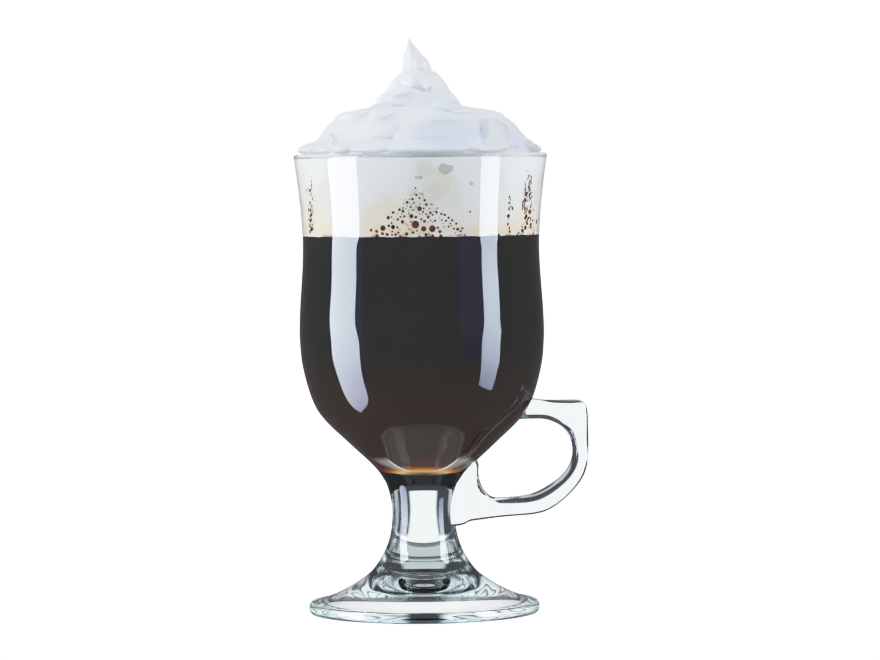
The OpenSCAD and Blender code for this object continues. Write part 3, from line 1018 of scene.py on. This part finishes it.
def cream_foam():
    """Cream foam against the glass: beige near the coffee, whiter higher up, full of tiny bubbles."""
    material, tree, shader = new_material("cream foam")
    place, x, y, z = object_place(tree)
    up = share_node(tree, z, coffee_z, rim_z)
    sway = product(tree, noise_texture(tree, place, foam_patch_scale), foam_patch_sway)
    shifted = math_node(tree, "ADD", math_node(tree, "ADD", up, sway), foam_patch_shift)
    colour = ramp(tree, shifted, foam_body_stops)
    cells = tree.nodes.new("ShaderNodeTexVoronoi")
    feed(tree, cells, {"Vector": place, "Scale": foam_cell_scale})
    specks = ramp(tree, cells.outputs["Distance"], foam_speck_stops)
    specks = product(tree, specks, ramp(tree, up, foam_speck_height_stops))
    colour = mixed_colour(tree, specks, colour, foam_speck_colour)
    for scale, detail, stops, cloud_colour in foam_clouds:
        cloud = ramp(tree, noise_texture(tree, place, scale, detail), stops)
        colour = mixed_colour(tree, cloud, colour, cloud_colour)
    rough = noise_texture(tree, place, foam_spot_rough_scale, 1)
    for spot in foam_spots:
        colour = mixed_colour(tree, spot_mask(tree, x, z, rough, spot), colour, foam_spot_colour)
    colour = mixed_colour(tree, ramp(tree, up, foam_line_stops), colour, foam_line_colour)
    side = product(tree, math_node(tree, "ABSOLUTE", x), 1 / (rim_r * MM))
    glow = ramp(tree, side, foam_glow_stops)
    feed(tree, shader, {
        "Base Color": colour, "Emission Color": colour, "Emission Strength": glow,
        "Roughness": 0.7, "IOR": 1.0,
    })
    return material


# Dark red to nearly black, from bubble to bubble
bubble_stops = ((0.35, (0.05, 0.02, 0.014)), (0.62, (0.2, 0.055, 0.04)))
bubble_colour_scale = 420


def bubble_skin():
    material, tree, shader = new_material("dark bubbles")
    place, x, y, z = object_place(tree)
    colour = ramp(tree, noise_texture(tree, place, bubble_colour_scale), bubble_stops)
    feed(tree, shader, {"Base Color": colour, "Roughness": 0.5, "IOR": 1.0})
    return material


# Whipped cream: its patches, and the painted bluish shade near the rim up to a height
cream_patch_scale = 90
cream_body_stops = ((0.35, (0.85, 0.872, 0.91)), (0.65, (0.9, 0.91, 0.925)))
cream_low_h = 14
cream_low_painted_shade = (0.79, 0.82, 0.885)
# The painted shade under the edges of the folds
cream_shade_colour = (0.6, 0.65, 0.74)
cream_shade_share = 0.6
# Its fine grain: scale, detail, strength and depth
cream_grain_scale = 900
cream_grain_detail = 4
cream_grain_strength = 0.25
cream_grain_depth = 0.3


def whipped_cream():
    material, tree, shader = new_material("whipped cream")
    place, x, y, z = object_place(tree)
    body = ramp(tree, noise_texture(tree, place, cream_patch_scale), cream_body_stops)
    low = share_node(tree, z, cream_layer_z + cream_low_h, cream_layer_z)
    colour = mixed_colour(tree, low, body, cream_low_painted_shade)
    # Painted shade under the folds' edges
    under = product(tree, attribute(tree, "fold_shade", "Fac"), cream_shade_share)
    colour = mixed_colour(tree, under, colour, cream_shade_colour)
    # Painted light and shade on the faces of the folds
    painted_lit_colour = vector_node(tree, "MULTIPLY", colour, attribute(tree, "fold_painted_light", "Vector"))
    grain = noise_texture(tree, place, cream_grain_scale, cream_grain_detail)
    bump = tree.nodes.new("ShaderNodeBump")
    feed(tree, bump, {"Height": grain, "Strength": cream_grain_strength, "Distance": cream_grain_depth * MM})
    feed(tree, shader, {
        "Base Color": painted_lit_colour, "Roughness": 0.5, "Specular IOR Level": 0.3, "Normal": bump.outputs["Normal"],
    })
    return material


# World and table

background = "ShaderNodeBackground"
# White as the camera sees it, over the shoulder of the tone curve
paper_white = 1.7
# What glass bends to: white ahead and to the side, dark between them
studio_dark = (0.04, 0.045, 0.055)
studio_grey = (0.45, 0.49, 0.51)
studio_white = (0.96, 1, 1)
side_light_stops = (
    (0.25, studio_white), (0.31, studio_dark), (0.6, studio_dark), (0.66, studio_grey), (0.76, studio_grey),
    (0.82, studio_dark), (0.88, studio_dark), (0.95, (0.85, 0.9, 0.92)),
)
# A direction's rise counts as a turn to the side, dark between the level white and the light overhead
rise_stops = ((0.25, 0), (0.31, 0.5), (0.7, 0.5), (0.78, 0))
bent_strength = 1.3
turned_back_strength = 0.65
# What shows through the hollow under the foot: dark but for the light overhead
hollow_dark = (0.08, 0.09, 0.105)
hollow_stops = ((0.6, hollow_dark), (0.8, studio_white))
# Soft light on the pieces by direction: from left to right, and from front to back
around_x_stops = (
    (0, (1.5, 1.53, 1.55)), (0.45, (0.8, 0.84, 0.9)), (0.7, (0.74, 0.78, 0.85)), (1, (1.02, 1.04, 1.06)),
)
around_y_stops = ((0, (0.62, 0.64, 0.67)), (0.5, white), (1, (1.05, 1.05, 1.04)))
around_strength = 1.22
# What the pieces mirror, dimmer from the back
mirrored_y_stops = ((0, (0.25, 0.27, 0.285)), (0.75, (0.12, 0.12, 0.125)))
# The table, which turns from white round the foot to the pattern between two distances
table_r = 900
table_segments = 96
table_drop = 0.4
table_white_r = (48, 56)
table_strength = 0.7


def side_light(tree, place):
    """The pattern of white and dark round the mug, from a direction or a place on the table."""
    flat = vector_node(tree, "NORMALIZE", vector_node(tree, "MULTIPLY", place, level))
    side = math_node(tree, "ABSOLUTE", split_xyz(tree, flat)[0])
    rise = ramp(tree, split_xyz(tree, place)[2], rise_stops)
    return ramp(tree, math_node(tree, "MAXIMUM", side, rise), side_light_stops)


def around_light(tree, place):
    """The soft light from a direction: its place from left to right times its place from front to back."""
    node = tree.nodes.new("ShaderNodeMix")
    node.data_type = "RGBA"
    node.blend_type = "MULTIPLY"
    node.inputs[0].default_value = 1
    x, y, z = split_xyz(tree, place)
    for socket, value, stops in ((node.inputs[6], x, around_x_stops), (node.inputs[7], y, around_y_stops)):
        share = math_node(tree, "ADD", product(tree, value, 0.5), 0.5)
        tree.links.new(ramp(tree, share, stops), socket)
    return node.outputs[2]


def light_by_path(tree, kind, around, mirrored, pattern, hollow):
    """Lights the pieces with one shader, and shows other light to the rays that glass mirrors or bends.

    Light that was mirrored on its way through the glass is dimmer, and light that crossed the hollow under
    the foot shows a pattern of its own.
    """
    path = tree.nodes.new("ShaderNodeLightPath").outputs
    bent = glow_shader(tree, kind, pattern, bent_strength)
    turned_back = glow_shader(tree, kind, pattern, turned_back_strength)
    in_hollow = glow_shader(tree, kind, hollow, bent_strength)
    result = mixed_shader(tree, path["Is Glossy Ray"], around, mirrored)
    through = mixed_shader(tree, ray_count_over(tree, "Glossy Depth", 0.5), bent, turned_back)
    crossed = ray_count_over(tree, "Transmission Depth", hollow_turns)
    through = mixed_shader(tree, crossed, through, in_hollow)
    result = mixed_shader(tree, path["Is Transmission Ray"], result, through)
    result = mixed_shader(tree, ray_count_over(tree, "Diffuse Depth", 0.5), result, around)
    return mixed_shader(tree, path["Is Camera Ray"], result, glow_shader(tree, kind, white, paper_white))


def make_world():
    world = bpy.data.worlds.new("studio")
    bpy.context.scene.world = world
    world.use_nodes = True
    tree = world.node_tree
    tree.nodes.clear()
    direction = tree.nodes.new("ShaderNodeTexCoord").outputs["Generated"]
    x, y, z = split_xyz(tree, direction)
    around = glow_shader(tree, background, around_light(tree, direction), around_strength)
    mirrored = glow_shader(tree, background, ramp(tree, y, mirrored_y_stops))
    pattern, hollow = side_light(tree, direction), ramp(tree, z, hollow_stops)
    light = light_by_path(tree, background, around, mirrored, pattern, hollow)
    tree.links.new(light, tree.nodes.new("ShaderNodeOutputWorld").inputs["Surface"])


def make_table():
    bm = bmesh.new()
    bmesh.ops.create_circle(bm, cap_ends=True, segments=table_segments, radius=table_r)
    bmesh.ops.translate(bm, vec=(0, 0, -table_drop), verts=bm.verts)
    table = piece_from("table", bm, smooth=False)
    material, tree = bare_material("white table")
    place = tree.nodes.new("ShaderNodeTexCoord").outputs["Object"]
    far = far_from_axis(tree, place, *table_white_r)
    pattern = mixed_colour(tree, far, studio_white, side_light(tree, place))
    around = glow_shader(tree, emission, white, table_strength)
    light = light_by_path(tree, emission, around, around, pattern, hollow_dark)
    tree.links.new(light, tree.nodes.new("ShaderNodeOutputMaterial").inputs["Surface"])
    table.data.materials.append(material)
    table.visible_glossy = False


# Soft lights that only the glass mirrors

softbox_distance = 600
softbox_columns = 12
softbox_steps = 4
# Brightness at a panel's low end against its upper half, and how much bluer it is there
softbox_low_share = 0.36
softbox_low_blue_share = 1.25
# Each row has a height and two azimuths in degrees from the camera's side, positive towards the handle
left_softbox_rows = [
    (-520, -87, -85), (-355, -89, -63), (-190, -90.5, -61), (-40, -92, -59.5), (60, -92, -60),
    (130, -93.5, -63.5), (350, -84, -58), (650, -78, -55),
]
right_softbox_rows = [
    (-240, 60.5, 77.8), (-60, 57.5, 78), (10, 57, 77), (80, 57.8, 78), (130, 59.3, 77), (430, 58, 84),
    (650, 57, 84),
]
left_dim_panel_rows = [(-190, -61, -55), (60, -60, -53.5), (130, -63.5, -57), (250, -60.5, -54)]
dim_panel_rows = [(-60, 36, 57), (10, 36, 57), (80, 36, 57.8), (250, 36, 59.3)]
dim_violet = (0.45, 0.45, 1)
# Name, colour, strength and rows
softboxes = [
    ("left softbox", (0.78, 0.86, 1), 17.5, left_softbox_rows),
    ("right softbox", (0.76, 0.86, 1), 17.3, right_softbox_rows),
    ("dim panel", dim_violet, 0.8, dim_panel_rows),
    ("left dim panel", dim_violet, 0.8, left_dim_panel_rows),
]


def make_softbox(name, colour, strength, rows):
    """A curved upright panel, brightest from half its height up."""
    rows = smooth_curve(rows, softbox_steps)
    bm = bmesh.new()
    bmesh.ops.create_grid(bm, x_segments=softbox_columns, y_segments=len(rows) - 1, size=0.5)
    for v in bm.verts:
        height, start, end = rows[round((v.co.y + 0.5) * (len(rows) - 1))]
        turn = math.radians(between(start, end, v.co.x + 0.5) - 90)
        v.co = (softbox_distance * math.cos(turn), softbox_distance * math.sin(turn), height)
    box = piece_from(name, bm, smooth=False)
    material, tree = bare_material(name)
    place, x, y, z = object_place(tree)
    red, green, blue = (softbox_low_share * part for part in colour)
    stops = ((0, (red, green, softbox_low_blue_share * blue)), (0.5, colour))
    glow = ramp(tree, share_node(tree, z, rows[0][0], rows[-1][0]), stops)
    output = tree.nodes.new("ShaderNodeOutputMaterial")
    tree.links.new(glow_shader(tree, emission, glow, strength), output.inputs["Surface"])
    box.data.materials.append(material)
    box.visible_camera = False
    box.visible_diffuse = False
    box.visible_transmission = False
    box.visible_shadow = False


# Camera and tone

camera_place = (6, -1270, 135.5)
camera_lens = 170.52
camera_sensor = 36
# Degrees that it looks down, and that it leans to the side
camera_down = 2.222
camera_lean = 0.54
# Shoulder of the tone curve: what each brightness over middle grey turns to
tone_curve = [
    (0, 0), (0.3, 0.3), (0.55, 0.55), (0.7, 0.682), (0.85, 0.78), (1, 0.85), (1.15, 0.905), (1.3, 0.94),
    (1.5, 0.962), (1.6, 0.98), (1.68, 1),
]


def make_camera():
    camera = bpy.data.cameras.new("camera")
    camera.sensor_width = camera_sensor
    camera.lens = camera_lens
    camera.clip_start = 0.01
    eye = bpy.data.objects.new("camera", camera)
    bpy.context.collection.objects.link(eye)
    eye.location = Vector(camera_place) * MM
    eye.rotation_euler = (math.radians(90 - camera_down), math.radians(camera_lean), 0)
    bpy.context.scene.camera = eye


def set_tone():
    view = bpy.context.scene.view_settings
    view.view_transform = "Standard"
    view.use_curve_mapping = True
    mapping = view.curve_mapping
    mapping.clip_max_x = 2
    mapping.clip_max_y = 1
    curve = mapping.curves[3]
    curve.points[0].location = tone_curve[0]
    curve.points[1].location = tone_curve[-1]
    for x, y in tone_curve[1:-1]:
        curve.points.new(x, y)
    mapping.update()


# The scene

set_tone()
make_camera()
make_world()
make_table()
for softbox in softboxes:
    make_softbox(*softbox)

glass = make_glass()
coffee = make_coffee()
layer = make_cream_layer()
bubbles = make_bubbles()
mound = make_whipped_cream()
for piece, material, slot, nodes in (
    (glass, clear_glass(), "clear_glass", ("bowl", "stem", "foot", "handle")),
    (coffee, coffee_liquid(), "coffee", ("coffee",)),
    (layer, cream_foam(), "cream_foam", ("cream_layer",)),
    (bubbles, bubble_skin(), "cream_foam", ()),
    (mound, whipped_cream(), "whipped_cream", ("whipped_cream",)),
):
    piece.data.materials.clear()
    piece.data.materials.append(material)
    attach(piece, "root")
    if nodes:
        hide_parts(*nodes)
